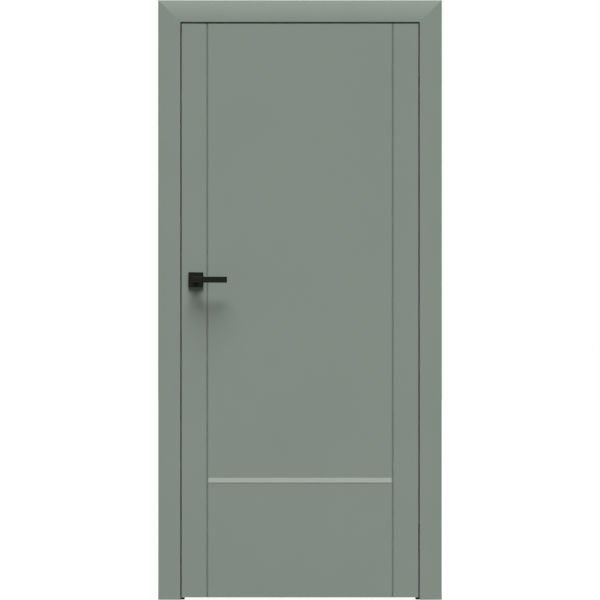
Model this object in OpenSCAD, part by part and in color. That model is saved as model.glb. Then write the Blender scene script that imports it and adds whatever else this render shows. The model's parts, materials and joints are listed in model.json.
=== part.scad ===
// Flush panelled door in its frame: a leaf of two stiles and two panels with a metal
// inlay between the panels, concealed hinges, a magnetic latch and a lever handle on both sides.
// Millimetres. +Z is up, the front faces -Y, the hinges are on +X. The origin lies on the floor
// at the middle of the leaf's width and thickness.

/* [Leaf] */
// Width of the leaf
leaf_w = 826; // [626:1:1026]
// Height of the leaf
leaf_h = 2000; // [1900:1:2200]
// Thickness of the leaf
leaf_t = 40; // [38:1:46]
// Width of each stile
stile_w = 90; // [86:1:130]
// Height of the lower panel
lower_panel_h = 400; // [250:1:700]
// How far the panels lie behind the faces of the stiles
panel_inset = 0.7; // [0.3:0.1:1.5]
// Width of the V-groove where a stile meets the panels
groove_w = 7; // [3:0.5:9]
// Depth of that V-groove
groove_d = 5; // [4.5:0.5:6]
// Length of the tongues that hold the panels in the stiles
tongue_l = 12; // [8:1:14]
// Thickness of those tongues
tongue_t = 14; // [12:1:16]
// Diameter of the dowels that tie the panels to the stiles
dowel_d = 10; // [8:0.5:10]
// Length of a dowel
dowel_l = 70; // [50:1:80]
// Small bevel on the outer edges of the stiles
leaf_edge = 1; // [0.5:0.1:2]

/* [Inlay strip] */
// Height of the metal strip
strip_h = 16.5; // [10:0.5:30]
// Thickness of the metal strip
strip_t = 2.5; // [1.5:0.1:4]
// Bevel along the two long edges of the strip
strip_edge = 0.2; // [0.2:0.1:0.8]

/* [Gaps] */
// Gap between the leaf and the frame at the sides
side_gap = 3.5; // [3:0.1:4]
// Gap between the leaf and the frame at the top
top_gap = 4; // [3:0.1:5]
// Gap under the leaf
floor_gap = 8.5; // [4:0.5:12]
// Room between the leaf and the stop, filled by the seal
seal_gap = 3; // [2:0.1:4]
// Clearance of a glued or pressed joint, on each side
joint_fit = 0.1; // [0.05:0.05:0.2]
// Running clearance of a turning or sliding piece, on each side
run_fit = 0.1; // [0.05:0.05:0.3]

/* [Frame] */
// Thickness of the wall that the frame goes round
wall_t = 75; // [70:1:78]
// Thickness of the jambs
jamb_t = 24; // [22:1:32]
// How far the stop reaches over the back of the leaf
stop_lap = 10; // [8:0.5:14]
// Width of the casings
casing_w = 78; // [60:1:100]
// Thickness of the casings at their inner edge
casing_t = 11; // [10:0.5:12]
// Radius of the crowned face of the casings
crown_r = 450; // [420:10:900]
// Bevel on the casings' outer edge
casing_edge = 1.5; // [0.5:0.5:2]
// Bevel on the casings' inner edge, beside the leaf
casing_inner_edge = 1.5; // [0.5:0.5:2]
// Wood left between a hinge housing and the casing's tongue
beak_web = 2; // [1.5:0.5:3]
// Thickness of the tongue on the back of a casing
beak_t = 4; // [3:0.5:5]
// Length of that tongue
beak_l = 8; // [6:0.5:8]
// Room at the end of a tongue in its groove
beak_room = 1; // [0.5:0.1:1]
// How much of the jamb's back edge shows beside the rear casings
back_reveal = 5; // [2:0.5:8]
// Width of the rubber seal
seal_w = 8; // [6:0.5:8]
// Width of the groove that holds the seal
seal_groove_w = 3; // [2:0.5:4]
// Depth of that groove
seal_groove_l = 6; // [4:0.5:8]
// Height of the lower wall fixings above the floor
fixing_low = 480; // [400:10:700]
// Height of the upper wall fixings above the floor
fixing_high = 1560; // [1400:10:1600]
// Diameter of a wall fixing hole
fixing_d = 6.5; // [5:0.5:8]
// Distance from the leaf's back face to the wall fixings
fixing_inset = 8; // [6:0.5:12]
// Diameter of the screws in the frame's corners
corner_screw_d = 5; // [4:0.5:6]
// Length of those screws
corner_screw_l = 70; // [50:1:90]
// Distance of those screws from the leaf's back face and from the rear casings' tongues
corner_screw_inset = 10; // [8:0.5:14]

/* [Hinges] */
// Distance from the ends of the leaf to the middle of a hinge
hinge_inset = 220; // [170:5:260]
// Height of a hinge's housings
hinge_h = 140; // [130:1:180]
// Width of a hinge's housings
hinge_w = 23; // [23:0.5:24]
// Depth of the housing in the jamb
hinge_frame_depth = 13; // [12:0.5:14]
// Depth of the housing in the leaf
hinge_leaf_depth = 40; // [39:0.5:44]
// Wall of the housings
hinge_wall = 1.5; // [1.2:0.1:1.5]
// Height of the arm between the housings
hinge_arm_h = 76; // [60:1:90]
// Thickness of that arm
hinge_arm_t = 5; // [4:0.5:5]
// Length of that arm from its pin
hinge_arm_l = 40; // [38:0.5:41]
// Diameter of the arm's pin
hinge_pin_d = 5; // [4:0.5:5]
// Wood left in front of the housings, behind the casing
hinge_web = 1.5; // [1.5:0.5:2]
// Diameter of the hinge screws
hinge_screw_d = 5; // [4:0.5:6]
// Length of the hinge screws
hinge_screw_l = 22; // [18:1:22]
// Distance from the jamb's face to the arm's pin
hinge_pin_inset = 3.25; // [3:0.05:3.5]
// Distance from the front of the hollow in a housing to the arm's pin
hinge_pin_offset = 9; // [9:0.1:9.5]

/* [Handle] */
// Height of the lever's axis above the floor
lever_z = 1116; // [950:1:1200]
// Distance from the leaf's edge to the lever's axis
backset = 50; // [45:1:55]
// Length of the lever from its axis
lever_l = 109; // [90:1:140]
// Height of the lever's bar
lever_h = 21; // [16:0.5:24]
// Thickness of the lever's bar
lever_t = 9; // [7:0.5:12]
// How far the lever stands out from the leaf
lever_reach = 66; // [56:0.5:70]
// Diameter of the lever's neck
neck_d = 18; // [16:0.5:20]
// Size of the square roses
rose_w = 52; // [48:1:58]
// Thickness of the roses
rose_t = 10; // [7:0.5:12]
// Wall of the rose covers
rose_wall = 1.5; // [1:0.1:2]
// Bevel on the edges of the lever and the roses
handle_edge = 0.8; // [0.4:0.1:1.5]
// Side of the square spindle
spindle_w = 8; // [7:0.5:9]
// How far the spindle goes into each lever
spindle_grip = 30; // [20:1:38]
// Diameter of the bolts that clamp the roses
rose_bolt_d = 4; // [3:0.5:5]
// Distance between those bolts
rose_bolt_span = 38; // [34:1:40]
// Diameter of the lever's grub screws
grub_d = 5; // [3:0.5:6]

/* [Latch] */
// Width of the latch faceplate and the strike plate
plate_w = 18; // [16:0.5:18]
// Height of the latch faceplate
faceplate_h = 196; // [180:1:220]
// Thickness of the faceplate and the strike plate
plate_t = 2.5; // [2:0.1:3]
// Height of the strike plate
strike_h = 110; // [90:1:140]
// Depth of the latch case from the back of its faceplate
case_l = 60; // [60:1:66]
// Height of the latch case
case_h = 130; // [120:1:150]
// Thickness of the latch case
case_t = 14; // [13:0.5:15]
// Diameter of the follower that the spindle turns
follower_d = 20; // [17:0.5:22]
// How far the bolt lies under the lever's axis
bolt_drop = 42; // [36:1:44]
// Height of the bolt
bolt_h = 30; // [24:1:34]
// Thickness of the bolt
bolt_t = 8; // [6:0.5:9]
// Length of the bolt
bolt_l = 40; // [34:1:44]
// How far the bolt is thrown into the strike
bolt_throw = 11; // [9:0.5:12]
// Thickness of the magnet in the strike box
magnet_t = 1.6; // [1:0.1:2]
// Wall of the strike box
strike_box_wall = 1.5; // [1:0.1:2]
// Diameter of the screws in the faceplate and the strike plate
plate_screw_d = 4; // [3:0.5:5]
// Length of the screws in the faceplate
plate_screw_l = 22; // [16:1:30]
// Length of the screws in the strike plate
strike_screw_l = 14; // [10:0.5:14]

/* [Hidden] */
paint = [0.506, 0.545, 0.514];
black = [0.12, 0.12, 0.12];
metal = [0.66, 0.68, 0.67];
rubber = [0.10, 0.10, 0.10];
raw_wood = [0.76, 0.62, 0.42];

over = 1;                                     // how far a cutter runs past what it cuts
round_fn = 96;
crown_fn = 360;
head_ratio = 2;                               // a screw's head is this many times its shank

// The leaf
front_y = -leaf_t / 2;
back_y = leaf_t / 2;
leaf_x = leaf_w / 2;
leaf_bottom = floor_gap;
leaf_top = floor_gap + leaf_h;
panel_x = leaf_x - stile_w;
strip_z = leaf_bottom + lower_panel_h;
upper_panel_z = strip_z + strip_h;
upper_panel_h = leaf_top - upper_panel_z;
dowel_inset = 70;
dowel_room = 0.5;                             // room at each end of a dowel
dowel_z_lower = [leaf_bottom + dowel_inset, strip_z - dowel_inset];
dowel_z_upper = [upper_panel_z + dowel_inset, (lever_z + leaf_top) / 2, leaf_top - dowel_inset];
dowel_z = concat(dowel_z_lower, dowel_z_upper);

// The frame
reveal_x = leaf_x + side_gap;
reveal_z = leaf_top + top_gap;
beak_inset = hinge_frame_depth + beak_web;
stop_x = leaf_x - stop_lap;
stop_z = leaf_top - stop_lap;
stop_y = back_y + seal_gap;
jamb_x = reveal_x + jamb_t;
jamb_z = reveal_z + jamb_t;
jamb_front_y = front_y + casing_t;
jamb_back_y = jamb_front_y + wall_t;
frame_back_y = jamb_back_y + casing_t;
crown_edge_x = casing_w - casing_edge;        // where the crown meets the bevel of a casing's outer edge
crown_edge_y = crown_r - sqrt(pow(crown_r, 2) - pow(crown_edge_x, 2));
back_inner_x = stop_x + back_reveal;
back_inner_z = stop_z + back_reveal;
seal_x = leaf_x - stop_lap / 2;
seal_z = leaf_top - stop_lap / 2;
seal_clear = 0.3;
seal_h = seal_gap - seal_clear;
seal_r = (pow(seal_w / 2, 2) + pow(seal_h, 2)) / (2 * seal_h);
fixing_y = back_y - fixing_inset;
corner_screw_y = [back_y - corner_screw_inset, jamb_back_y - beak_l - corner_screw_inset];
corner_screw_z = reveal_z + (beak_inset - corner_screw_d / 2) / 2;

// The hinges
hinge_front_y = jamb_front_y + hinge_web;
hinge_y = hinge_front_y + hinge_w / 2;
hinge_z = [leaf_bottom + hinge_inset, leaf_top - hinge_inset];
hinge_pin_x = reveal_x + hinge_pin_inset;
hinge_pin_y = hinge_front_y + hinge_wall + hinge_pin_offset;
hinge_arm_room = 2;                           // room above and below the arm
hinge_hollow_h = hinge_arm_h + 2 * hinge_arm_room;
hinge_pin_seat = 6;                           // how far a pin goes into each end of its housing
hinge_pin_l = hinge_hollow_h + 2 * hinge_pin_seat;
hinge_barrel_wall = 1.6;
hinge_barrel_r = hinge_pin_d / 2 + hinge_barrel_wall;
hinge_screw_z = (hinge_h + hinge_hollow_h) / 4;
hinge_head_d = head_ratio * hinge_screw_d;

// The handle and the latch
lever_x = -leaf_x + backset;
lever_tip_y = front_y - lever_reach;
neck_end = 0.5;                               // room between the neck and the leaf
lever_heel = 1;                               // how far the bar reaches past the neck
lever_left = neck_d / 2 + lever_heel;
rose_room = 0.5;                              // room between a rose and its base
rose_base_t = rose_t - rose_wall - rose_room;
rose_base_w = rose_w - 2 * (rose_wall + rose_room);
rose_bolt_head_d = head_ratio * rose_bolt_d;
rose_bolt_head_t = 2;
rose_bolt_play = 0.5;                         // room round those bolts in the leaf
spindle_l = leaf_t + 2 * (neck_end + spindle_grip);
grub_y = front_y - rose_t - grub_d;
grub_inset = 1;                               // how far a grub screw lies inside the neck
follower_room = 1;                            // room round the follower in the stile
case_x = -leaf_x + plate_t;
bolt_z = lever_z - bolt_drop;
faceplate_z = lever_z - bolt_drop / 2;
faceplate_screw_z = (faceplate_h - plate_w) / 2;
strike_screw_z = (strike_h - plate_w) / 2;
bolt_nose = 1.5;                              // bevel on the bolt's nose
bolt_gap = 2;                                 // room round the bolt in the strike
bolt_end_gap = 2.4;                           // room between the thrown bolt and the magnet
strike_box_l = bolt_throw - side_gap - plate_t + bolt_end_gap + magnet_t + strike_box_wall;
strike_hole_h = bolt_h + 2 * bolt_gap;
strike_hole_w = bolt_t + 2 * bolt_gap;
strike_box_h = strike_hole_h + 2 * strike_box_wall;
strike_box_w = strike_hole_w + 2 * strike_box_wall;
magnet_size = [magnet_t, strike_hole_w - bolt_gap, strike_hole_h - bolt_gap];
plate_head_d = head_ratio * plate_screw_d;

// Shapes that repeat

// A box from its lowest corner to its highest
module span(low, high) {
    translate(low) cube(high - low);
}

// A box with its middle at the origin of the plane that it stands on
module block(size) {
    translate([-size[0] / 2, -size[1] / 2, -size[2] / 2]) cube(size);
}

// A plate in the Y-Z plane with round ends, from x = 0 to x = thickness
module round_ended(w, h, thickness) {
    rotate([90, 0, 90]) linear_extrude(thickness) {
        square([w, h - w], center = true);
        for (end = [-1, 1]) translate([0, end * (h - w) / 2]) circle(d = w, $fn = round_fn);
    }
}

// The recess that such a plate lies in, cut from in front of the face at x = 0
module mortise(w, h, depth) {
    translate([-over, 0, 0]) round_ended(w, h, depth + over);
}

// An outline with its four corners cut off
module bevelled_outline(w, h, bevel) {
    polygon([
        [-w / 2 + bevel, -h / 2], [w / 2 - bevel, -h / 2], [w / 2, -h / 2 + bevel], [w / 2, h / 2 - bevel],
        [w / 2 - bevel, h / 2], [-w / 2 + bevel, h / 2], [-w / 2, h / 2 - bevel], [-w / 2, -h / 2 + bevel]
    ]);
}

// A block with all its edges bevelled, about its own middle
module bevelled_block(size, bevel) {
    intersection() {
        linear_extrude(size[2], center = true) bevelled_outline(size[0], size[1], bevel);
        rotate([90, 0, 0]) linear_extrude(size[1], center = true) bevelled_outline(size[0], size[2], bevel);
        rotate([90, 0, 90]) linear_extrude(size[0], center = true) bevelled_outline(size[1], size[2], bevel);
    }
}

// A countersunk screw along +X with the top of its head at x = 0
module screw_x(d, head_d, l) {
    rotate([0, 90, 0]) {
        cylinder(d = d, h = l, $fn = round_fn);
        cylinder(d1 = head_d, d2 = d, h = (head_d - d) / 2, $fn = round_fn);
    }
}

// The hole for such a screw, cut from in front of the face at x = 0
module screw_hole_x(d, head_d, l) {
    screw_x(d, head_d, l);
    translate([-over, 0, 0]) rotate([0, 90, 0]) cylinder(d = head_d, h = over, $fn = round_fn);
}

// The same piece on the other side of the leaf's middle plane
module at_back() {
    mirror([0, 1, 0]) children();
}

// The same piece on the lock side
module at_lock_side() {
    mirror([1, 0, 0]) children();
}

// Casings

// Section of a casing: its inner edge at 0, its crowned face towards -Y and a tongue behind
module casing_section() {
    past = casing_edge + over;
    inner_past = casing_inner_edge + over;
    difference() {
        intersection() {
            square([casing_w, casing_t]);
            translate([0, crown_r]) circle(r = crown_r, $fn = crown_fn);
        }
        polygon([[-over, -over], [inner_past, -over], [-over, inner_past]]);
        translate([crown_edge_x, crown_edge_y]) polygon([[-over, -over], [past, -over], [past, past]]);
    }
    translate([beak_inset, casing_t - joint_fit]) square([beak_t, beak_l + joint_fit]);
}

// The part of the X-Z plane above the mitre line that starts at the casing's inner corner
module above_mitre(inner_x, inner_z) {
    reach = casing_w + over;
    rotate([90, 0, 0]) linear_extrude(4 * casing_w, center = true) polygon([
        [inner_x - over, inner_z - over], [inner_x + reach, inner_z + reach],
        [inner_x - over, inner_z + reach]
    ]);
}

// Right-hand casing of the front, with the leaf's face at y = 0
module casing_upright(inner_x, inner_z) {
    difference() {
        translate([inner_x, 0, 0]) linear_extrude(inner_z + casing_w) casing_section();
        above_mitre(inner_x, inner_z);
    }
}

module casing_head(inner_x, inner_z) {
    half = inner_x + casing_w;
    intersection() {
        translate([0, 0, inner_z]) rotate([0, -90, 0])
            linear_extrude(2 * half, center = true) casing_section();
        rotate([90, 0, 0]) linear_extrude(4 * casing_w, center = true) polygon([
            [-inner_x, inner_z], [inner_x, inner_z], [half, inner_z + casing_w], [-half, inner_z + casing_w]
        ]);
    }
}

module on_front_plane() {
    translate([0, front_y, 0]) children();
}

module on_back_plane() {
    translate([0, frame_back_y, 0]) mirror([0, 1, 0]) children();
}

module front_casing_right() { color(paint) on_front_plane() casing_upright(reveal_x, reveal_z); }
module front_casing_left() { at_lock_side() front_casing_right(); }
module front_casing_head() { color(paint) on_front_plane() casing_head(reveal_x, reveal_z); }
module back_casing_right() { color(paint) on_back_plane() casing_upright(back_inner_x, back_inner_z); }
module back_casing_left() { at_lock_side() back_casing_right(); }
module back_casing_head() { color(paint) on_back_plane() casing_head(back_inner_x, back_inner_z); }

// Jambs

// Grooves for the casings' tongues, in the uprights and across the head
module beak_grooves() {
    low = beak_inset - joint_fit;
    high = beak_inset + beak_t + joint_fit;
    front_end = jamb_front_y + beak_l + beak_room;
    back_end = jamb_back_y - beak_l - beak_room;
    for (side = [0, 1]) mirror([side, 0, 0]) {
        span([reveal_x + low, jamb_front_y - over, -over], [reveal_x + high, front_end, reveal_z + high]);
        span([back_inner_x + low, back_end, -over],
             [back_inner_x + high, jamb_back_y + over, back_inner_z + high]);
    }
    span([-reveal_x - high, jamb_front_y - over, reveal_z + low],
         [reveal_x + high, front_end, reveal_z + high]);
    span([-back_inner_x - high, back_end, back_inner_z + low],
         [back_inner_x + high, jamb_back_y + over, back_inner_z + high]);
}

// Right-hand jamb: a rebate for the leaf in front of a stop
module jamb_upright() {
    difference() {
        linear_extrude(jamb_z) polygon([
            [reveal_x, jamb_front_y], [jamb_x, jamb_front_y], [jamb_x, jamb_back_y],
            [stop_x, jamb_back_y], [stop_x, stop_y], [reveal_x, stop_y]
        ]);
        span([seal_x - seal_groove_w / 2, stop_y - over, -over],
             [seal_x + seal_groove_w / 2, stop_y + seal_groove_l, leaf_top]);
        beak_grooves();
        at_corner_screws() screw_hole_x(corner_screw_d, head_ratio * corner_screw_d, corner_screw_l);
        for (z = [fixing_low, fixing_high]) translate([reveal_x - over, fixing_y, z]) rotate([0, 90, 0])
            cylinder(d = fixing_d, h = jamb_t + 2 * over, $fn = round_fn);
    }
}

// Screws through the uprights into the ends of the head
module at_corner_screws() {
    for (y = corner_screw_y) translate([jamb_x, y, corner_screw_z]) mirror([1, 0, 0]) children();
}

module frame_corner_screws() {
    color(metal) for (side = [0, 1]) mirror([side, 0, 0])
        at_corner_screws() screw_x(corner_screw_d, head_ratio * corner_screw_d, corner_screw_l);
}

module hinge_jamb() {
    color(paint) difference() {
        jamb_upright();
        for (z = hinge_z) {
            at_hinge(z) mortise(hinge_w, hinge_h, hinge_frame_depth);
            at_hinge(z) hinge_screw_holes();
        }
    }
}

module lock_jamb() {
    color(paint) difference() {
        at_lock_side() jamb_upright();
        at_strike() {
            mortise(plate_w, strike_h, plate_t);
            strike_box_body(over);
            strike_screw_holes();
        }
    }
}

module head_jamb() {
    color(paint) difference() {
        union() {
            span([-reveal_x, jamb_front_y, reveal_z], [reveal_x, stop_y, jamb_z]);
            span([-stop_x, stop_y, stop_z], [stop_x, jamb_back_y, jamb_z]);
        }
        span([-stop_x - over, stop_y - over, seal_z - seal_groove_w / 2],
             [stop_x + over, stop_y + seal_groove_l, seal_z + seal_groove_w / 2]);
        beak_grooves();
        frame_corner_screws();
    }
}

// Seals

// Section of the seal: a stem in the groove and a dome that the leaf closes on, towards -Y
module seal_section() {
    translate([-seal_groove_w / 2 + joint_fit, -joint_fit])
        square([seal_groove_w - 2 * joint_fit, seal_groove_l]);
    intersection() {
        translate([0, seal_r - seal_h]) circle(r = seal_r, $fn = round_fn);
        translate([-seal_w / 2, -seal_h]) square([seal_w, seal_h]);
    }
}

module hinge_side_seal() {
    color(rubber) translate([seal_x, stop_y, 0]) linear_extrude(leaf_top) seal_section();
}

module lock_side_seal() { at_lock_side() hinge_side_seal(); }

module head_seal() {
    color(rubber) translate([0, stop_y, seal_z]) rotate([0, -90, 0])
        linear_extrude(2 * stop_x, center = true) seal_section();
}

// Strike, with x = 0 on the jamb's face and +X into the jamb

module at_strike() {
    translate([-reveal_x, 0, bolt_z]) mirror([1, 0, 0]) children();
}

module strike_box_body(forward) {
    span([plate_t - forward, -strike_box_w / 2, -strike_box_h / 2],
         [plate_t + strike_box_l, strike_box_w / 2, strike_box_h / 2]);
}

module at_strike_screws() {
    for (end = [-1, 1]) translate([0, 0, end * strike_screw_z]) children();
}

module strike_screw_holes() { at_strike_screws() screw_hole_x(plate_screw_d, plate_head_d, strike_screw_l); }

module strike_plate() {
    color(black) difference() {
        at_strike() round_ended(plate_w, strike_h, plate_t);
        at_strike() translate([plate_t / 2, 0, 0]) block([plate_t + 2 * over, strike_hole_w, strike_hole_h]);
        at_strike() strike_screw_holes();
    }
}

module strike_box() {
    color(black) at_strike() difference() {
        strike_box_body(0);
        span([plate_t - over, -strike_hole_w / 2, -strike_hole_h / 2],
             [plate_t + strike_box_l - strike_box_wall, strike_hole_w / 2, strike_hole_h / 2]);
    }
}

module strike_magnet() {
    floor_x = plate_t + strike_box_l - strike_box_wall;
    color(metal) at_strike() translate([floor_x - magnet_t / 2, 0, 0]) block(magnet_size);
}

module strike_screws() {
    color(black) at_strike() at_strike_screws() screw_x(plate_screw_d, plate_head_d, strike_screw_l);
}

// Hinges, with x = 0 on the jamb's face and +X into the jamb

module at_hinge(z) {
    translate([reveal_x, hinge_y, z]) children();
}

// The same place on the leaf's edge, with +X into the leaf
module at_leaf_hinge(z) {
    translate([leaf_x, hinge_y, z]) mirror([1, 0, 0]) children();
}

module at_hinge_screws() {
    for (end = [-1, 1]) translate([0, 0, end * hinge_screw_z]) children();
}

module hinge_screws() { at_hinge_screws() screw_x(hinge_screw_d, hinge_head_d, hinge_screw_l); }
module hinge_screw_holes() { at_hinge_screws() screw_hole_x(hinge_screw_d, hinge_head_d, hinge_screw_l); }

// A housing with round ends, open in front for the arm
module hinge_housing(depth) {
    hollow_w = hinge_w - 2 * hinge_wall;
    difference() {
        round_ended(hinge_w, hinge_h, depth);
        span([-over, -hollow_w / 2, -hinge_hollow_h / 2],
             [depth - hinge_wall, hollow_w / 2, hinge_hollow_h / 2]);
        hinge_screw_holes();
    }
}

module hinge_pin_at(z, d, l) {
    translate([hinge_pin_x, hinge_pin_y, z]) cylinder(d = d, h = l, center = true, $fn = round_fn);
}

module hinge_frame_housing(z) {
    color(black) difference() {
        at_hinge(z) hinge_housing(hinge_frame_depth);
        hinge_pin_at(z, hinge_pin_d, hinge_pin_l);
    }
}

module hinge_leaf_housing(z) { color(black) at_leaf_hinge(z) hinge_housing(hinge_leaf_depth); }

// The arm turns on the pin in the jamb's housing and slides in the leaf's housing
module hinge_arm(z) {
    tip_r = hinge_arm_t / 2;
    color(black) translate([hinge_pin_x, hinge_pin_y, z]) difference() {
        linear_extrude(hinge_arm_h, center = true) {
            circle(r = hinge_barrel_r, $fn = round_fn);
            translate([-hinge_arm_l + tip_r, -tip_r]) square([hinge_arm_l - tip_r, hinge_arm_t]);
            translate([-hinge_arm_l + tip_r, 0]) circle(r = tip_r, $fn = round_fn);
        }
        cylinder(d = hinge_pin_d + run_fit, h = hinge_arm_h + 2 * over, center = true, $fn = round_fn);
    }
}

module hinge_pins() { color(metal) for (z = hinge_z) hinge_pin_at(z, hinge_pin_d, hinge_pin_l); }
module hinge_frame_screws() { color(black) for (z = hinge_z) at_hinge(z) hinge_screws(); }
module hinge_leaf_screws() { color(black) for (z = hinge_z) at_leaf_hinge(z) hinge_screws(); }
module lower_hinge_frame_housing() { hinge_frame_housing(hinge_z[0]); }
module upper_hinge_frame_housing() { hinge_frame_housing(hinge_z[1]); }
module lower_hinge_leaf_housing() { hinge_leaf_housing(hinge_z[0]); }
module upper_hinge_leaf_housing() { hinge_leaf_housing(hinge_z[1]); }
module lower_hinge_arm() { hinge_arm(hinge_z[0]); }
module upper_hinge_arm() { hinge_arm(hinge_z[1]); }

// Leaf

// Dowels across the joint between the right-hand stile and the panels
module stile_dowels(d, l) {
    for (z = dowel_z) translate([panel_x, 0, z]) rotate([0, 90, 0])
        cylinder(d = d, h = l, center = true, $fn = round_fn);
}

module panel_dowels() {
    color(raw_wood) for (side = [0, 1]) mirror([side, 0, 0])
        stile_dowels(dowel_d - 2 * joint_fit, dowel_l - 2 * dowel_room);
}

// Right-hand stile: bevelled for the V-groove inside, eased outside, grooved for the tongues
module stile() {
    vee = groove_w / 2;
    difference() {
        translate([0, 0, leaf_bottom]) linear_extrude(leaf_h) polygon([
            [panel_x, front_y + groove_d], [panel_x + vee, front_y], [leaf_x - leaf_edge, front_y],
            [leaf_x, front_y + leaf_edge], [leaf_x, back_y - leaf_edge], [leaf_x - leaf_edge, back_y],
            [panel_x + vee, back_y], [panel_x, back_y - groove_d]
        ]);
        span([panel_x - over, -tongue_t / 2 - joint_fit, leaf_bottom - over],
             [panel_x + tongue_l + joint_fit, tongue_t / 2 + joint_fit, leaf_top + over]);
        stile_dowels(dowel_d, dowel_l);
    }
}

module hinge_stile() {
    color(paint) difference() {
        stile();
        for (z = hinge_z) {
            at_leaf_hinge(z) mortise(hinge_w, hinge_h, hinge_leaf_depth);
            at_leaf_hinge(z) hinge_screw_holes();
        }
    }
}

module lock_stile() {
    color(paint) difference() {
        at_lock_side() stile();
        at_faceplate() mortise(plate_w, faceplate_h, plate_t);
        at_faceplate() faceplate_screw_holes();
        span([case_x - over, -case_t / 2 - joint_fit, faceplate_z - case_h / 2 - joint_fit],
             [case_x + case_l + joint_fit, case_t / 2 + joint_fit, faceplate_z + case_h / 2 + joint_fit]);
        spindle_bore(follower_d + 2 * follower_room, leaf_t + 2 * over);
        rose_bolt_holes(leaf_t + 2 * over, rose_bolt_d + 2 * rose_bolt_play);
    }
}

// A piece between the stiles, bevelled at its ends for the V-grooves and tongued into the stiles,
// with its faces an inset behind those of the stiles
module infill(z, h, inset) {
    half_t = leaf_t / 2 - inset;
    vee_x = panel_x - groove_w / 2 * (1 - inset / groove_d);
    vee_y = leaf_t / 2 - groove_d;
    translate([0, 0, z]) {
        linear_extrude(h) polygon([
            [-vee_x, -half_t], [vee_x, -half_t], [panel_x, -vee_y], [panel_x, vee_y],
            [vee_x, half_t], [-vee_x, half_t], [-panel_x, vee_y], [-panel_x, -vee_y]
        ]);
        translate([0, 0, h / 2]) block([2 * (panel_x + tongue_l), tongue_t, h]);
    }
}

module panel(z, h) {
    difference() {
        infill(z, h, panel_inset);
        for (side = [0, 1]) mirror([side, 0, 0]) stile_dowels(dowel_d, dowel_l);
    }
}

module upper_panel() { color(paint) panel(upper_panel_z, upper_panel_h); }
module lower_panel() { color(paint) panel(leaf_bottom, lower_panel_h); }

// The rail between the panels, which carries the inlay on both faces
module cross_rail() { color(paint) infill(strip_z, strip_h, strip_t); }

module front_inlay_strip() {
    color(metal) translate([0, front_y + strip_t / 2, strip_z + strip_h / 2])
        rotate([90, 0, 90]) linear_extrude(2 * panel_x - groove_w, center = true) polygon([
            [strip_t / 2, -strip_h / 2], [strip_t / 2, strip_h / 2],
            [-strip_t / 2 + strip_edge, strip_h / 2], [-strip_t / 2, strip_h / 2 - strip_edge],
            [-strip_t / 2, -strip_h / 2 + strip_edge], [-strip_t / 2 + strip_edge, -strip_h / 2]
        ]);
}

module back_inlay_strip() { at_back() front_inlay_strip(); }

// Latch

// The lever's axis, with Z along it towards the back
module at_spindle() {
    translate([lever_x, 0, lever_z]) rotate([-90, 0, 0]) children();
}

// A cylinder about the lever's axis
module spindle_bore(d, l) {
    at_spindle() cylinder(d = d, h = l, center = true, $fn = round_fn);
}

module rose_bolt_holes(l, d) {
    for (side = [-1, 1]) translate([side * rose_bolt_span / 2, 0, 0]) spindle_bore(d, l);
}

// The middle of the faceplate, on the leaf's edge, with +X into the leaf
module at_faceplate() {
    translate([-leaf_x, 0, faceplate_z]) children();
}

module at_faceplate_screws() {
    for (end = [-1, 1]) translate([0, 0, end * faceplate_screw_z]) children();
}

module faceplate_screw_holes() {
    at_faceplate_screws() screw_hole_x(plate_screw_d, plate_head_d, plate_screw_l);
}

// The bolt at rest, drawn in, with its nose flush with the faceplate
module bolt_body(gap, l) {
    span([-leaf_x, -bolt_t / 2 - gap, bolt_z - bolt_h / 2 - gap],
         [-leaf_x + l, bolt_t / 2 + gap, bolt_z + bolt_h / 2 + gap]);
}

module latch_case() {
    color(metal) difference() {
        span([case_x, -case_t / 2, faceplate_z - case_h / 2],
             [case_x + case_l, case_t / 2, faceplate_z + case_h / 2]);
        translate([-over, 0, 0]) bolt_body(run_fit, bolt_l + 2 * over);
        spindle_bore(follower_d + 2 * run_fit, case_t + 2 * over);
        rose_bolt_holes(case_t + 2 * over, rose_bolt_d + 2 * rose_bolt_play);
    }
}

module latch_faceplate() {
    color(black) difference() {
        at_faceplate() round_ended(plate_w, faceplate_h, plate_t);
        translate([-over, 0, 0]) bolt_body(run_fit, bolt_l);
        at_faceplate() faceplate_screw_holes();
    }
}

module faceplate_screws() {
    color(black) at_faceplate() at_faceplate_screws() screw_x(plate_screw_d, plate_head_d, plate_screw_l);
}

// The bolt has the two upright edges of its nose bevelled
module latch_bolt() {
    color(black) intersection() {
        bolt_body(0, bolt_l);
        translate([-leaf_x, 0, bolt_z]) linear_extrude(bolt_h + 2 * over, center = true) polygon([
            [0, -bolt_t / 2 + bolt_nose], [bolt_nose, -bolt_t / 2], [bolt_l, -bolt_t / 2],
            [bolt_l, bolt_t / 2], [bolt_nose, bolt_t / 2], [0, bolt_t / 2 - bolt_nose]
        ]);
    }
}

module spindle_bar(gap, l) {
    at_spindle() block([spindle_w + 2 * gap, spindle_w + 2 * gap, l]);
}

module follower() {
    color(metal) difference() {
        spindle_bore(follower_d, case_t);
        spindle_bar(joint_fit, case_t + 2 * over);
    }
}

module spindle() { color(metal) spindle_bar(0, spindle_l); }

// Handle

module front_rose_base() {
    color(metal) difference() {
        translate([lever_x, front_y - rose_base_t / 2, lever_z])
            block([rose_base_w, rose_base_t, rose_base_w]);
        spindle_bore(neck_d + 2 * run_fit, 2 * lever_reach + leaf_t);
        rose_bolts();
    }
}

module back_rose_base() { at_back() front_rose_base(); }

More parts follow.
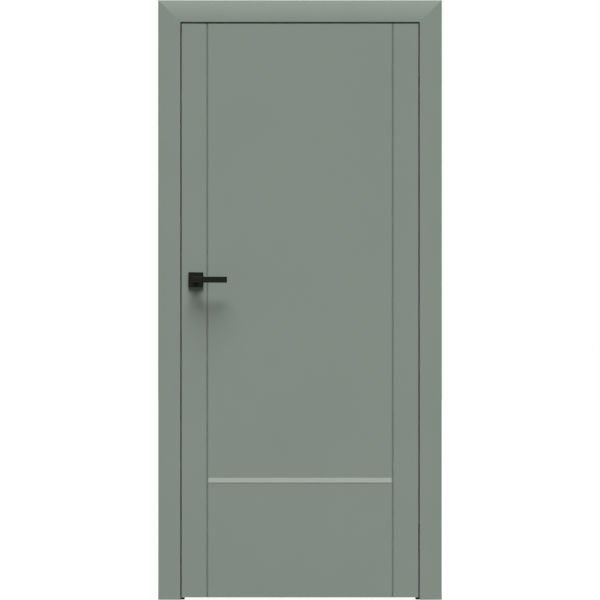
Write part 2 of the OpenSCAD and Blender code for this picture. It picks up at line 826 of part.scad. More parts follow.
// A square cap with bevelled edges, hollow behind for its base
module front_rose() {
    inside = rose_w / 2 - rose_wall;
    color(black) difference() {
        intersection() {
            translate([lever_x, front_y, lever_z]) bevelled_block([rose_w, 2 * rose_t, rose_w], handle_edge);
            span([lever_x - rose_w, front_y - rose_t, lever_z - rose_w],
                 [lever_x + rose_w, front_y, lever_z + rose_w]);
        }
        span([lever_x - inside, front_y - rose_t + rose_wall, lever_z - inside],
             [lever_x + inside, front_y + over, lever_z + inside]);
        spindle_bore(neck_d + 2 * run_fit, 2 * lever_reach + leaf_t);
    }
}

module back_rose() { at_back() front_rose(); }

// Bolts through the leaf from one rose base to the other, with a head at each end
module rose_bolts() {
    head_y = leaf_t / 2 + rose_base_t - rose_bolt_head_t / 2;
    color(metal) {
        rose_bolt_holes(2 * head_y, rose_bolt_d);
        for (side = [-1, 1]) translate([0, side * head_y, 0])
            rose_bolt_holes(rose_bolt_head_t, rose_bolt_head_d);
    }
}

// A flat bar on a round neck, with a square socket for the spindle
module front_lever() {
    bar_l = lever_l + lever_left;
    neck_l = lever_reach - lever_t / 2 - neck_end;
    color(black) difference() {
        union() {
            translate([lever_x + (lever_l - lever_left) / 2, lever_tip_y + lever_t / 2, lever_z])
                bevelled_block([bar_l, lever_t, lever_h], handle_edge);
            translate([lever_x, front_y - neck_end, lever_z]) rotate([90, 0, 0])
                cylinder(d = neck_d, h = neck_l, $fn = round_fn);
        }
        spindle_bar(joint_fit, spindle_l + 2 * joint_fit);
        grub_screw(grub_d, neck_d / 2 + over);
    }
}

// A grub screw under the neck, up to the spindle
module grub_screw(d, low) {
    translate([lever_x, grub_y, lever_z - low]) cylinder(d = d, h = low - spindle_w / 2, $fn = round_fn);
}

module back_lever() { at_back() front_lever(); }

module lever_grub_screws() {
    low = neck_d / 2 - grub_inset;
    color(black) {
        grub_screw(grub_d - 2 * joint_fit, low);
        at_back() grub_screw(grub_d - 2 * joint_fit, low);
    }
}

lock_jamb();
hinge_jamb();
head_jamb();
frame_corner_screws();
front_casing_left();
front_casing_right();
front_casing_head();
back_casing_left();
back_casing_right();
back_casing_head();
lock_side_seal();
hinge_side_seal();
head_seal();
strike_plate();
strike_box();
strike_magnet();
strike_screws();
lower_hinge_frame_housing();
upper_hinge_frame_housing();
hinge_pins();
hinge_frame_screws();
lower_hinge_arm();
upper_hinge_arm();
lower_hinge_leaf_housing();
upper_hinge_leaf_housing();
hinge_leaf_screws();
lock_stile();
hinge_stile();
upper_panel();
lower_panel();
cross_rail();
front_inlay_strip();
back_inlay_strip();
panel_dowels();
latch_case();
latch_faceplate();
faceplate_screws();
latch_bolt();
front_rose();
back_rose();
front_rose_base();
back_rose_base();
rose_bolts();
front_lever();
back_lever();
lever_grub_screws();
spindle();
follower();
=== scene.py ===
# A panelled room door in its frame: satin paint, an inlaid metal strip and matt black levers.
# Metres, +Z up, the front towards -Y, the hinges on +X.
import json
from math import asin, cos, pi, radians

import bmesh
import bpy
from mathutils import Matrix, Vector


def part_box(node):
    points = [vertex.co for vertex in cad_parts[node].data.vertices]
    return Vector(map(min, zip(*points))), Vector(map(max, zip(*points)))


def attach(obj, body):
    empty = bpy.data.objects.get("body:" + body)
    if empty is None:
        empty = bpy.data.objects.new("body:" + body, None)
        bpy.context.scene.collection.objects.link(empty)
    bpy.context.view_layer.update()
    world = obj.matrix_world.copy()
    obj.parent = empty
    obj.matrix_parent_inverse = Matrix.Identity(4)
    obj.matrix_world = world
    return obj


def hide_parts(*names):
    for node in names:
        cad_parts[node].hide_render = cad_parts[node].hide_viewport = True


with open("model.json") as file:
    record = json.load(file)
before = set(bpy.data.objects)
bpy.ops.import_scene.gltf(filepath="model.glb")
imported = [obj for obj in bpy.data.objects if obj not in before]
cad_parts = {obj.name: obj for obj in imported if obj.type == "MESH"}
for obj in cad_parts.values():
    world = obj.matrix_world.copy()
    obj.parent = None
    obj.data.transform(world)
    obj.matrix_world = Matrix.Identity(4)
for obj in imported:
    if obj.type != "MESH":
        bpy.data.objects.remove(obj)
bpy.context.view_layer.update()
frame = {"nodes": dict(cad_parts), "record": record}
NODES = frame["nodes"]
RECORD = frame["record"]
SLOT_OF = {subpart["node"]: subpart["material_slot"] for subpart in RECORD["subparts"]}
BODY_OF = {node: body for body, members in RECORD["behaviour"]["bodies"].items() for node in members}

# The two sides along X and the two faces along Y, as the front is seen
HANDS = ((-1, "left"), (1, "right"))
FACES = ((-1, "front"), (1, "back"))

# Casings
CASING_THICKNESS = 0.011
CROWN_RADIUS = 0.45
CROWN_STEPS = 24
OUTER_EDGE = 0.0005              # radius of the casings' outer edge
INNER_EDGE = 0.0028              # radius of their edge beside the leaf
EDGE_STEPS = 6
TONGUE_START = 0.015             # from the edge beside the leaf to the tongue
TONGUE_THICKNESS = 0.004

# Inlaid strips
STRIP_DISH = 0.0004              # how far the middle of a strip's face lies behind its edges
DISH_STEPS = 12

# Latch bolt
BOLT_NOSE = 0.0015               # bevel on both sides of the bolt's end
BOLT_EDGE = 0.0006               # radius of all its edges
BOLT_EDGE_STEPS = 3

# Screws: widths and depths are shares of the width of the head
SCREW_STEPS = 32
CROSS_WIDTH = 0.60               # from end to end of the cross
CROSS_ARM = 0.16                 # width of one arm
CROSS_DEPTH = 0.22
CROSS_TAPER = 0.55               # size of the bottom of the cross beside its mouth
SHANK_WIDTH = 0.5
CONE_DEPTH = 0.25                # depth of the countersunk head
SCREW_TURN = radians(37.0)       # each screw of a set stopped a little further round
SOCKET_WIDTH = 0.58              # from corner to corner of a grub screw's socket
SOCKET_DEPTH = 0.4
SOCKET_SIDES = 6

# Each set of countersunk screws, and which way along X its heads look; 0 is away from the middle
SCREW_SETS = {"hinge_frame": -1, "hinge_leaf": 1, "strike": 1, "faceplate": -1, "frame_corner": 0}

# Meshes
MERGE_DISTANCE = 1e-7            # corners of a new shape this close are one corner
SOLID_DISTANCE = 1e-6            # the same for the loose triangles of a CAD solid
CUT_DISTANCE = 1e-6              # corners this close to a saw cut lie on it
SHARP_ANGLE = radians(32.0)      # edges that turn by more than this stay crisp

# Camera: the frame of the picture is a square of this width on the plane of the door's front
PICTURE_WIDTH = 2.0913
PICTURE_MIDDLE = 1.0451          # height of its middle above the floor
CAMERA_DISTANCE = 30.0
SENSOR_WIDTH = 36.0

# Light: a direction points from the door to its lamp, and an angle is how wide the lamp looks
KEY_DIRECTION = (0.0, -0.371, 0.929)
KEY_STRENGTH = 7.0
KEY_ANGLE = 0.64
REAR_DIRECTION = (0.35, 1.0, 0.75)
REAR_STRENGTH = 2.6
REAR_ANGLE = 0.9
SIDE_ACROSS = 1.0
SIDE_BEHIND = 0.3
SIDE_ABOVE = 0.35
SIDE_STRENGTH = 1.7
SIDE_ANGLE = 0.3
AMBIENT = 0.16                   # even light from all round

# Floor
FLOOR_LEVEL = -0.0008            # just under the feet of the frame
FLOOR_SIZE = 120.0
FLOOR_TONE = 0.8
FLOOR_GLOW = 0.78                # how much of the pale floor is its own white
FLOOR_BOUNCE = 0.06              # brightness of the floor as the door sees it

# Finishes
NOISE_LOW = 0.3                  # most values of a noise lie between these two
NOISE_HIGH = 0.7
COAT_BUMP = 0.25


# Node groups that several finishes share

def new_group(name, inputs, outputs):
    """An empty shader node group with its named number sockets; the first input is a vector."""
    group = bpy.data.node_groups.new(name, "ShaderNodeTree")
    group.interface.new_socket("Vector", in_out="INPUT", socket_type="NodeSocketVector")
    for label, value in inputs.items():
        socket = group.interface.new_socket(label, in_out="INPUT", socket_type="NodeSocketFloat")
        socket.default_value = value
    for label in outputs:
        group.interface.new_socket(label, in_out="OUTPUT", socket_type="NodeSocketFloat")
    start = group.nodes.new("NodeGroupInput")
    end = group.nodes.new("NodeGroupOutput")
    return group, start, end


def add_noise(group, start, scale, detail, roughness):
    """A noise on a group's own coordinates, with its scale from one of the group's inputs."""
    noise = group.nodes.new("ShaderNodeTexNoise")
    noise.inputs["Detail"].default_value = detail
    noise.inputs["Roughness"].default_value = roughness
    group.links.new(start.outputs["Vector"], noise.inputs["Vector"])
    group.links.new(start.outputs[scale], noise.inputs["Scale"])
    return noise.outputs["Fac"]


def make_fine_stipple():
    """The skin that a sprayed or moulded surface has: a fine peel, and slow drifts of tone."""
    group, start, end = new_group("fine_stipple", {"Scale": 700.0, "Drift": 3.0}, ("Height", "Tone"))
    peel = add_noise(group, start, "Scale", detail=2.0, roughness=0.5)
    drift = add_noise(group, start, "Drift", detail=3.0, roughness=0.55)
    group.links.new(peel, end.inputs["Height"])
    group.links.new(drift, end.inputs["Tone"])
    return group


def make_long_grain():
    """Fine lines of brushed metal or planed wood, drawn out by the coordinates that it is given."""
    group, start, end = new_group("long_grain", {"Scale": 900.0}, ("Height",))
    lines = add_noise(group, start, "Scale", detail=3.0, roughness=0.6)
    group.links.new(lines, end.inputs["Height"])
    return group


FINE_STIPPLE = make_fine_stipple()
LONG_GRAIN = make_long_grain()


# Finishes

def new_finish(name, specular, metallic):
    """A material with its shader, ready for the nodes of one finish."""
    material = bpy.data.materials.new(name)
    material.use_nodes = True
    shader = material.node_tree.nodes["Principled BSDF"]
    shader.inputs["Metallic"].default_value = metallic
    shader.inputs["Specular IOR Level"].default_value = specular
    return material, material.node_tree, shader


def add_pattern(tree, group, values, stretch=(1.0, 1.0, 1.0)):
    """Places a shared group on the object's own coordinates, stretched along its axes."""
    place = tree.nodes.new("ShaderNodeTexCoord")
    mapping = tree.nodes.new("ShaderNodeMapping")
    mapping.inputs["Scale"].default_value = stretch
    pattern = tree.nodes.new("ShaderNodeGroup")
    pattern.node_tree = group
    for label, value in values.items():
        pattern.inputs[label].default_value = value
    tree.links.new(place.outputs["Object"], mapping.inputs["Vector"])
    tree.links.new(mapping.outputs["Vector"], pattern.inputs["Vector"])
    return pattern


def add_range(tree, value, low, high):
    """Spreads a noise over a range of numbers."""
    spread = tree.nodes.new("ShaderNodeMapRange")
    spread.inputs["From Min"].default_value = NOISE_LOW
    spread.inputs["From Max"].default_value = NOISE_HIGH
    spread.inputs["To Min"].default_value = low
    spread.inputs["To Max"].default_value = high
    tree.links.new(value, spread.inputs["Value"])
    return spread.outputs["Result"]


def add_tone(tree, shader, value, dark, light):
    """Lets the colour drift between two tones."""
    blend = tree.nodes.new("ShaderNodeMix")
    blend.data_type = "RGBA"
    blend.inputs["A"].default_value = (*dark, 1.0)
    blend.inputs["B"].default_value = (*light, 1.0)
    tree.links.new(add_range(tree, value, 0.0, 1.0), blend.inputs["Factor"])
    tree.links.new(blend.outputs["Result"], shader.inputs["Base Color"])


def add_gloss(tree, shader, value, roughness):
    """Lets the gloss drift between two roughnesses."""
    tree.links.new(add_range(tree, value, *roughness), shader.inputs["Roughness"])


def add_bump(tree, shader, height, strength, distance):
    """Turns a pattern into fine relief."""
    bump = tree.nodes.new("ShaderNodeBump")
    bump.inputs["Strength"].default_value = strength
    bump.inputs["Distance"].default_value = distance
    tree.links.new(height, bump.inputs["Height"])
    tree.links.new(bump.outputs["Normal"], shader.inputs["Normal"])


def coat_finish(name, dark, light, specular, roughness, peel, drift, relief):
    """A painted, coated or moulded surface: even colour, slight peel and a little change in gloss."""
    material, tree, shader = new_finish(name, specular, metallic=0.0)
    skin = add_pattern(tree, FINE_STIPPLE, {"Scale": peel, "Drift": drift})
    add_tone(tree, shader, skin.outputs["Tone"], dark, light)
    add_gloss(tree, shader, skin.outputs["Tone"], roughness)
    add_bump(tree, shader, skin.outputs["Height"], COAT_BUMP, relief)
    return material


def grained_finish(name, dark, light, specular, metallic, roughness, lines, stretch, bump, relief):
    """A brushed metal or a planed wood, whose lines run along the axis with the smallest stretch."""
    material, tree, shader = new_finish(name, specular, metallic)
    grain = add_pattern(tree, LONG_GRAIN, {"Scale": lines}, stretch)
    add_tone(tree, shader, grain.outputs["Height"], dark, light)
    add_gloss(tree, shader, grain.outputs["Height"], roughness)
    add_bump(tree, shader, grain.outputs["Height"], bump, relief)
    return material


FINISHES = {
    # Sage green satin paint on the leaf and the frame
    "door_paint": coat_finish(
        "door_paint",
        dark=(0.206, 0.243, 0.213),
        light=(0.212, 0.250, 0.219),
        specular=0.15,
        roughness=(0.44, 0.52),
        peel=420.0,
        drift=2.5,
        relief=0.00006,
    ),
    # Matt black powder coat on the levers and the roses
    "handle_black": coat_finish(
        "handle_black",
        dark=(0.0041, 0.0058, 0.0031),
        light=(0.0057, 0.0075, 0.0046),
        specular=0.1,
        roughness=(0.42, 0.52),
        peel=2600.0,
        drift=40.0,
        relief=0.00003,
    ),
    # A smoother black on the hinges and the latch
    "fitting_black": coat_finish(
        "fitting_black",
        dark=(0.0100, 0.0108, 0.0102),
        light=(0.0140, 0.0150, 0.0142),
        specular=0.3,
        roughness=(0.38, 0.48),
        peel=2600.0,
        drift=40.0,
        relief=0.00003,
    ),
    # Dull black rubber
    "seal_rubber": coat_finish(
        "seal_rubber",
        dark=(0.016, 0.017, 0.016),
        light=(0.024, 0.025, 0.024),
        specular=0.2,
        roughness=(0.62, 0.75),
        peel=1800.0,
        drift=30.0,
        relief=0.00004,
    ),
    # Moulded dark plastic of the box in the strike
    "strike_plastic": coat_finish(
        "strike_plastic",
        dark=(0.028, 0.030, 0.029),
        light=(0.038, 0.041, 0.039),
        specular=0.4,
        roughness=(0.40, 0.50),
        peel=1500.0,
        drift=30.0,
        relief=0.00004,
    ),
    # Satin metal with its grain along the strip
    "inlay_metal": grained_finish(
        "inlay_metal",
        dark=(0.288, 0.322, 0.289),
        light=(0.316, 0.351, 0.317),
        specular=0.5,
        metallic=1.0,
        roughness=(0.34, 0.44),
        lines=2600.0,
        stretch=(0.02, 1.0, 1.0),
        bump=0.12,
        relief=0.00004,
    ),
    # Bright steel of the inner fittings
    "hardware_steel": grained_finish(
        "hardware_steel",
        dark=(0.44, 0.43, 0.41),
        light=(0.54, 0.53, 0.51),
        specular=0.5,
        metallic=1.0,
        roughness=(0.28, 0.40),
        lines=2200.0,
        stretch=(1.0, 1.0, 0.03),
        bump=0.12,
        relief=0.00004,
    ),
    # Planed beech with its grain upwards
    "bare_wood": grained_finish(
        "bare_wood",
        dark=(0.42, 0.26, 0.14),
        light=(0.60, 0.42, 0.25),
        specular=0.25,
        metallic=0.0,
        roughness=(0.55, 0.70),
        lines=260.0,
        stretch=(1.0, 1.0, 0.04),
        bump=0.2,
        relief=0.0001,
    ),
}


def dress_nodes():
    """Gives every CAD node the finish of its slot."""
    for name, node in NODES.items():
        node.data.materials.clear()
        node.data.materials.append(FINISHES[SLOT_OF[name]])


# Shapes in mesh code

def finish_piece(name, bm, node):
    """Makes a modelled mesh the visible form of a CAD node, on its body and in its finish."""
    bmesh.ops.remove_doubles(bm, verts=bm.verts, dist=MERGE_DISTANCE)
    bmesh.ops.recalc_face_normals(bm, faces=bm.faces)
    mesh = bpy.data.meshes.new(name)
    bm.to_mesh(mesh)
    bm.free()
    mesh.shade_smooth()
    mesh.set_sharp_from_angle(angle=SHARP_ANGLE)
    mesh.materials.append(FINISHES[SLOT_OF[node]])
    piece = bpy.data.objects.new(name, mesh)
    bpy.context.scene.collection.objects.link(piece)
    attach(piece, BODY_OF[node])
    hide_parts(node)


def of_kind(geometry, kind):
    """The vertices or the edges in what an operator gives back."""
    return [part for part in geometry if isinstance(part, kind)]


def line_to(bm, corner, x, y):
    """Draws a straight edge of an outline in the XY plane."""
    end = bmesh.ops.extrude_vert_indiv(bm, verts=[corner])["verts"][0]
    end.co = (x, y, 0.0)
    return end


def arc_to(bm, corner, middle, angle, steps):
    """Draws a round stretch of an outline in the XY plane."""
    turn = bmesh.ops.spin(
        bm, geom=[corner], cent=(*middle, 0.0), axis=(0.0, 0.0, 1.0), angle=angle, steps=steps
    )
    return of_kind(turn["geom_last"], bmesh.types.BMVert)[0]


def raise_outline(bm, length):
    """Closes an outline in the XY plane and raises it along Z."""
    bmesh.ops.remove_doubles(bm, verts=bm.verts, dist=MERGE_DISTANCE)
    face = bmesh.ops.contextual_create(bm, geom=bm.edges)["faces"]
    raised = bmesh.ops.extrude_face_region(bm, geom=face)["geom"]
    bmesh.ops.translate(bm, verts=of_kind(raised, bmesh.types.BMVert), vec=(0.0, 0.0, length))


def raise_ring(bm, ring, distance, scale):
    """Draws a closed ring of edges on along Z and scales its far end."""
    drawn = bmesh.ops.extrude_edge_only(bm, edges=ring)["geom"]
    far = of_kind(drawn, bmesh.types.BMVert)
    bmesh.ops.translate(bm, verts=far, vec=(0.0, 0.0, distance))
    bmesh.ops.scale(bm, verts=far, vec=(scale, scale, 1.0))
    return [edge for edge in of_kind(drawn, bmesh.types.BMEdge) if all(vert in far for vert in edge.verts)]


def add_ring(bm, radius, sides):
    """A ring of edges round the Z axis."""
    made = bmesh.ops.create_circle(bm, cap_ends=False, radius=radius, segments=sides)
    return list({edge: None for vert in made["verts"] for edge in vert.link_edges})


def cut_off(bm, point, direction):
    """Saws a closed shape at a plane, takes the far side away and closes the cut."""
    whole = bm.verts[:] + bm.edges[:] + bm.faces[:]
    cut = bmesh.ops.bisect_plane(
        bm, geom=whole, dist=CUT_DISTANCE, plane_co=point, plane_no=direction, clear_outer=True
    )
    bmesh.ops.contextual_create(bm, geom=of_kind(cut["geom_cut"], bmesh.types.BMEdge))


def turn_section(bm, across, inwards, along, corner):
    """Turns a raised section so that its X, Y and Z run along three directions from a corner."""
    turn = Matrix((across, inwards, along)).transposed()
    bm.transform(Matrix.Translation(corner) @ turn.to_4x4())


def join_shape(whole, shape, place):
    """Adds a shape to a larger mesh at its place."""
    shape.transform(place)
    mesh = bpy.data.meshes.new("one_shape")
    shape.to_mesh(mesh)
    shape.free()
    whole.from_mesh(mesh)
    bpy.data.meshes.remove(mesh)


def solid_boxes(node):
    """The boxes of the separate solids in a CAD node."""
    bm = bmesh.new()
    bm.from_mesh(NODES[node].data)
    bmesh.ops.remove_doubles(bm, verts=bm.verts, dist=SOLID_DISTANCE)
    boxes = []
    found = set()
    for first in bm.verts:
        if first in found:
            continue
        found.add(first)
        island = [first]
        for vert in island:
            near = [edge.other_vert(vert) for edge in vert.link_edges]
            fresh = [other for other in near if other not in found]
            found.update(fresh)
            island.extend(fresh)
        low = Vector(min(vert.co[axis] for vert in island) for axis in range(3))
        high = Vector(max(vert.co[axis] for vert in island) for axis in range(3))
        boxes.append((low, high))
    bm.free()
    return boxes


# Casings

def casing_outline(bm, width, tongue):
    """The section of a casing: a crowned face between two rounded edges, and a tongue at its back."""
    inner_lean = asin(INNER_EDGE / (CROWN_RADIUS - INNER_EDGE))
    inner_y = CROWN_RADIUS - (CROWN_RADIUS - INNER_EDGE) * cos(inner_lean)
    outer_lean = asin((width - OUTER_EDGE) / (CROWN_RADIUS - OUTER_EDGE))
    outer_y = CROWN_RADIUS - (CROWN_RADIUS - OUTER_EDGE) * cos(outer_lean)
    back = CASING_THICKNESS
    tongue_end = TONGUE_START + TONGUE_THICKNESS
    corner = bm.verts.new((0.0, inner_y, 0.0))
    corner = arc_to(bm, corner, (INNER_EDGE, inner_y), pi / 2 + inner_lean, EDGE_STEPS)
    corner = arc_to(bm, corner, (0.0, CROWN_RADIUS), outer_lean - inner_lean, CROWN_STEPS)
    corner = arc_to(bm, corner, (width - OUTER_EDGE, outer_y), pi / 2 - outer_lean, EDGE_STEPS)
    corner = line_to(bm, corner, width, back)
    corner = line_to(bm, corner, tongue_end, back)
    corner = line_to(bm, corner, tongue_end, back + tongue)
    corner = line_to(bm, corner, TONGUE_START, back + tongue)
    corner = line_to(bm, corner, TONGUE_START, back)
    corner = line_to(bm, corner, 0.0, back)
    line_to(bm, corner, 0.0, inner_y)


def casing_length(width, tongue, length):
    """A straight length of casing."""
    bm = bmesh.new()
    casing_outline(bm, width, tongue)
    raise_outline(bm, length)
    return bm


def make_casings(face, side):
    """The upright casings and the head casing of one face, sawn at 45 degrees where they meet."""
    low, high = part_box(side + "_casing_right")
    inner_x, outer_x, top = low.x, high.x, high.z
    inner_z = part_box(side + "_casing_head")[0].z
    face_y = low.y if face < 0 else high.y
    width = outer_x - inner_x
    tongue = high.y - low.y - CASING_THICKNESS
    for hand, label in HANDS:
        upright = casing_length(width, tongue, top)
        cut_off(upright, (0.0, 0.0, inner_z), (-1.0, 0.0, 1.0))
        turn_section(upright, (hand, 0, 0), (0, -face, 0), (0, 0, 1), (hand * inner_x, face_y, 0.0))
        finish_piece(f"{side}_{label}_crowned_casing", upright, f"{side}_casing_{label}")
    head = casing_length(width, tongue, 2 * outer_x)
    cut_off(head, (0.0, 0.0, outer_x + inner_x), (-1.0, 0.0, 1.0))
    cut_off(head, (0.0, 0.0, outer_x - inner_x), (-1.0, 0.0, -1.0))
    turn_section(head, (0, 0, 1), (0, -face, 0), (1, 0, 0), (-outer_x, face_y, inner_z))
    finish_piece(side + "_head_crowned_casing", head, side + "_casing_head")


# Leaf

def make_strip(face, side):
    """A flat metal strip with a slightly dished face, let in between the panels."""
    low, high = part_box(side + "_inlay_strip")
    height = high.z - low.z
    thickness = high.y - low.y
    face_y = low.y if face < 0 else high.y
    radius = (height ** 2 / 4 + STRIP_DISH ** 2) / (2 * STRIP_DISH)
    sweep = 2 * asin(height / 2 / radius)
    bm = bmesh.new()
    corner = bm.verts.new((0.0, 0.0, 0.0))
    corner = arc_to(bm, corner, (height / 2, STRIP_DISH - radius), -sweep, DISH_STEPS)
    corner = line_to(bm, corner, height, thickness)
    corner = line_to(bm, corner, 0.0, thickness)
    line_to(bm, corner, 0.0, 0.0)
    raise_outline(bm, high.x - low.x)
    turn_section(bm, (0, 0, 1), (0, -face, 0), (1, 0, 0), (low.x, face_y, low.z))
    finish_piece(side + "_dished_strip", bm, side + "_inlay_strip")


def make_bolt():
    """The latch bolt: a block with a bevelled nose and rounded edges."""
    low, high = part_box("latch_bolt")
    length = high.x - low.x
    thickness = high.y - low.y
    bm = bmesh.new()
    corner = bm.verts.new((0.0, BOLT_NOSE, 0.0))
    corner = line_to(bm, corner, BOLT_NOSE, 0.0)
    corner = line_to(bm, corner, length, 0.0)
    corner = line_to(bm, corner, length, thickness)
    corner = line_to(bm, corner, BOLT_NOSE, thickness)
    corner = line_to(bm, corner, 0.0, thickness - BOLT_NOSE)
    line_to(bm, corner, 0.0, BOLT_NOSE)
    raise_outline(bm, high.z - low.z)
    bmesh.ops.bevel(
        bm, geom=bm.edges, offset=BOLT_EDGE, offset_type="OFFSET", affect="EDGES",
        segments=BOLT_EDGE_STEPS, profile=0.5, material=-1
    )
    bmesh.ops.translate(bm, verts=bm.verts, vec=low)
    finish_piece("rounded_latch_bolt", bm, "latch_bolt")


# Screws

def cross_recess(bm, head):
    """The cross in a screw's head: a square with an arm on each side, sunk and tapered."""
    bmesh.ops.create_grid(bm, x_segments=1, y_segments=1, size=CROSS_ARM * head / 2)
    reach = (CROSS_WIDTH - CROSS_ARM) * head / 2
    for edge in bm.edges[:]:
        outwards = (edge.verts[0].co + edge.verts[1].co).normalized()
        arm = bmesh.ops.extrude_edge_only(bm, edges=[edge])["geom"]
        bmesh.ops.translate(bm, verts=of_kind(arm, bmesh.types.BMVert), vec=outwards * reach)
    lid = bm.faces[:]
    mouth = [edge for edge in bm.edges if edge.is_boundary]
    floor = raise_ring(bm, mouth, -CROSS_DEPTH * head, CROSS_TAPER)
    bmesh.ops.delete(bm, geom=lid, context="FACES")
    bmesh.ops.contextual_create(bm, geom=floor)
    return mouth


def cross_screw(head, length, turn):
    """A countersunk screw that points down, with the face of its head at the origin."""
    bm = bmesh.new()
    mouth = cross_recess(bm, head)
    bmesh.ops.rotate(bm, verts=bm.verts, cent=(0.0, 0.0, 0.0), matrix=Matrix.Rotation(turn, 3, "Z"))
    rim = add_ring(bm, head / 2, SCREW_STEPS)
    bmesh.ops.triangle_fill(bm, edges=mouth + rim, normal=(0.0, 0.0, 1.0))
    cone = raise_ring(bm, rim, -CONE_DEPTH * head, SHANK_WIDTH)
    tip = raise_ring(bm, cone, CONE_DEPTH * head - length, 1.0)
    bmesh.ops.contextual_create(bm, geom=tip)
    return bm


def make_cross_screws(use, facing):
    """One set of countersunk screws that lie along X."""
    node = use + "_screws"
    whole = bmesh.new()
    for count, (low, high) in enumerate(solid_boxes(node)):
        middle = (low + high) / 2
        outwards = 1 if middle.x > 0 else -1
        looks = facing or outwards
        head_x = high.x if looks > 0 else low.x
        turn = Matrix.Rotation(looks * pi / 2, 4, "Y")
        screw = cross_screw(high.z - low.z, high.x - low.x, count * SCREW_TURN)
        join_shape(whole, screw, Matrix.Translation((head_x, middle.y, middle.z)) @ turn)
    finish_piece(use + "_cross_screws", whole, node)


def grub_screw(width, length):
    """A headless screw that points down, with the mouth of its socket at the origin."""
    bm = bmesh.new()
    mouth = add_ring(bm, SOCKET_WIDTH * width / 2, SOCKET_SIDES)
    floor = raise_ring(bm, mouth, -SOCKET_DEPTH * width, 1.0)
    bmesh.ops.contextual_create(bm, geom=floor)
    rim = add_ring(bm, width / 2, SCREW_STEPS)
    bmesh.ops.triangle_fill(bm, edges=mouth + rim, normal=(0.0, 0.0, 1.0))
    tip = raise_ring(bm, rim, -length, 1.0)
    bmesh.ops.contextual_create(bm, geom=tip)
    return bm


def make_grub_screws():
    """The screws under the levers' necks, which look down."""
    whole = bmesh.new()
    for low, high in solid_boxes("lever_grub_screws"):
        middle = (low + high) / 2
        screw = grub_screw(high.x - low.x, high.z - low.z)
        upside_down = Matrix.Rotation(pi, 4, "X")
        join_shape(whole, screw, Matrix.Translation((middle.x, middle.y, low.z)) @ upside_down)
    finish_piece("socket_grub_screws", whole, "lever_grub_screws")


# The studio

def add_sun(name, direction, strength, angle):
    """A large soft lamp, as far away as the sky, whose light comes from a direction."""
    light = bpy.data.lights.new(name, "SUN")
    light.energy = strength
    light.angle = angle
    lamp = bpy.data.objects.new(name, light)
    lamp.rotation_mode = "QUATERNION"
    lamp.rotation_quaternion = Vector(direction).to_track_quat("Z", "Y")
    bpy.context.scene.collection.objects.link(lamp)


def add_shader(tree, kind, tone):
    """A shader of one even grey tone."""
    shader = tree.nodes.new(kind)
    shader.inputs["Color"].default_value = (tone, tone, tone, 1.0)
    return shader.outputs[0]


def mix_shaders(tree, first, second):
    """A mix of two shaders, and the socket for the share of the second one."""
    mix = tree.nodes.new("ShaderNodeMixShader")
    tree.links.new(first, mix.inputs[1])
    tree.links.new(second, mix.inputs[2])
    return mix.outputs["Shader"], mix.inputs["Fac"]


def add_larger(tree, first, second):
    """The larger one of two values."""
    node = tree.nodes.new("ShaderNodeMath")
    node.operation = "MAXIMUM"
    tree.links.new(first, node.inputs[0])
    tree.links.new(second, node.inputs[1])
    return node.outputs["Value"]


def seen_rays(tree):
    """One for rays that show the background itself: from the camera, or by a mirror or glass."""
    path = tree.nodes.new("ShaderNodeLightPath")
    seen = add_larger(tree, path.outputs["Is Camera Ray"], path.outputs["Is Glossy Ray"])
    return add_larger(tree, seen, path.outputs["Is Transmission Ray"])


def make_world():
    """A white background that gives the door only a little even light."""
    world = bpy.data.worlds.new("studio")
    bpy.context.scene.world = world
    world.use_nodes = True
    tree = world.node_tree
    tree.nodes.clear()
    dim = add_shader(tree, "ShaderNodeBackground", AMBIENT)
    white = add_shader(tree, "ShaderNodeBackground", 1.0)
    mixed, share = mix_shaders(tree, dim, white)
    tree.links.new(seen_rays(tree), share)
    out = tree.nodes.new("ShaderNodeOutputWorld")
    tree.links.new(mixed, out.inputs["Surface"])


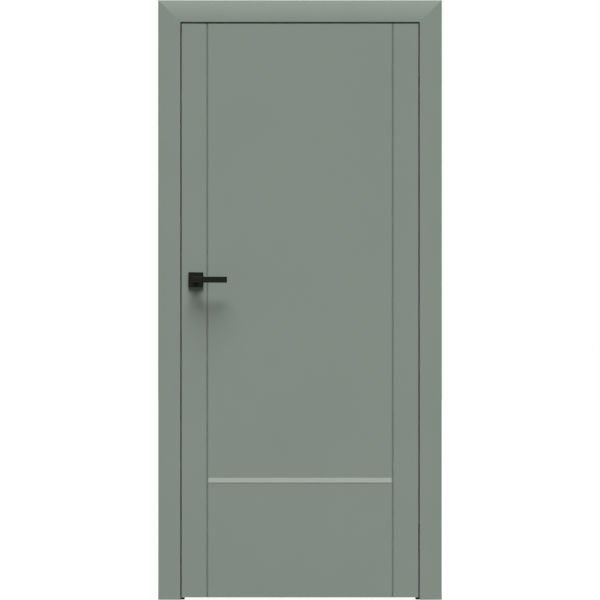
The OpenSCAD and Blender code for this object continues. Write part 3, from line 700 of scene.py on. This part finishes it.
def pale_floor_material():
    """A floor that looks nearly white and throws little light back up."""
    material = bpy.data.materials.new("pale_floor")
    material.use_nodes = True
    tree = material.node_tree
    tree.nodes.clear()
    pale = add_shader(tree, "ShaderNodeBsdfDiffuse", FLOOR_TONE)
    glow = add_shader(tree, "ShaderNodeEmission", 1.0)
    dim = add_shader(tree, "ShaderNodeBsdfDiffuse", FLOOR_BOUNCE)
    seen, glow_share = mix_shaders(tree, pale, glow)
    glow_share.default_value = FLOOR_GLOW
    mixed, seen_share = mix_shaders(tree, dim, seen)
    tree.links.new(seen_rays(tree), seen_share)
    out = tree.nodes.new("ShaderNodeOutputMaterial")
    tree.links.new(mixed, out.inputs["Surface"])
    return material


def make_floor():
    """A wide pale floor that shows a faint shadow."""
    bm = bmesh.new()
    bmesh.ops.create_grid(bm, x_segments=1, y_segments=1, size=FLOOR_SIZE / 2)
    bmesh.ops.translate(bm, verts=bm.verts, vec=(0.0, 0.0, FLOOR_LEVEL))
    mesh = bpy.data.meshes.new("studio_floor")
    bm.to_mesh(mesh)
    bm.free()
    mesh.materials.append(pale_floor_material())
    floor = bpy.data.objects.new("studio_floor", mesh)
    bpy.context.scene.collection.objects.link(floor)


def make_camera(front_y):
    """A level camera far in front of the door, with a long lens."""
    data = bpy.data.cameras.new("camera")
    data.sensor_width = SENSOR_WIDTH
    data.lens = SENSOR_WIDTH * CAMERA_DISTANCE / PICTURE_WIDTH
    data.clip_end = CAMERA_DISTANCE + FLOOR_SIZE
    camera = bpy.data.objects.new("camera", data)
    camera.location = (0.0, front_y - CAMERA_DISTANCE, PICTURE_MIDDLE)
    camera.rotation_euler = (pi / 2, 0.0, 0.0)
    bpy.context.scene.collection.objects.link(camera)
    bpy.context.scene.camera = camera


dress_nodes()
for face, side in FACES:
    make_casings(face, side)
    make_strip(face, side)
make_bolt()
for use, facing in SCREW_SETS.items():
    make_cross_screws(use, facing)
make_grub_screws()

make_camera(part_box("lock_stile")[0].y)
make_world()
make_floor()
add_sun("key", KEY_DIRECTION, KEY_STRENGTH, KEY_ANGLE)
add_sun("rear", REAR_DIRECTION, REAR_STRENGTH, REAR_ANGLE)
for hand, label in HANDS:
    add_sun(label + "_side", (hand * SIDE_ACROSS, SIDE_BEHIND, SIDE_ABOVE), SIDE_STRENGTH, SIDE_ANGLE)
bpy.context.scene.view_settings.view_transform = "Standard"
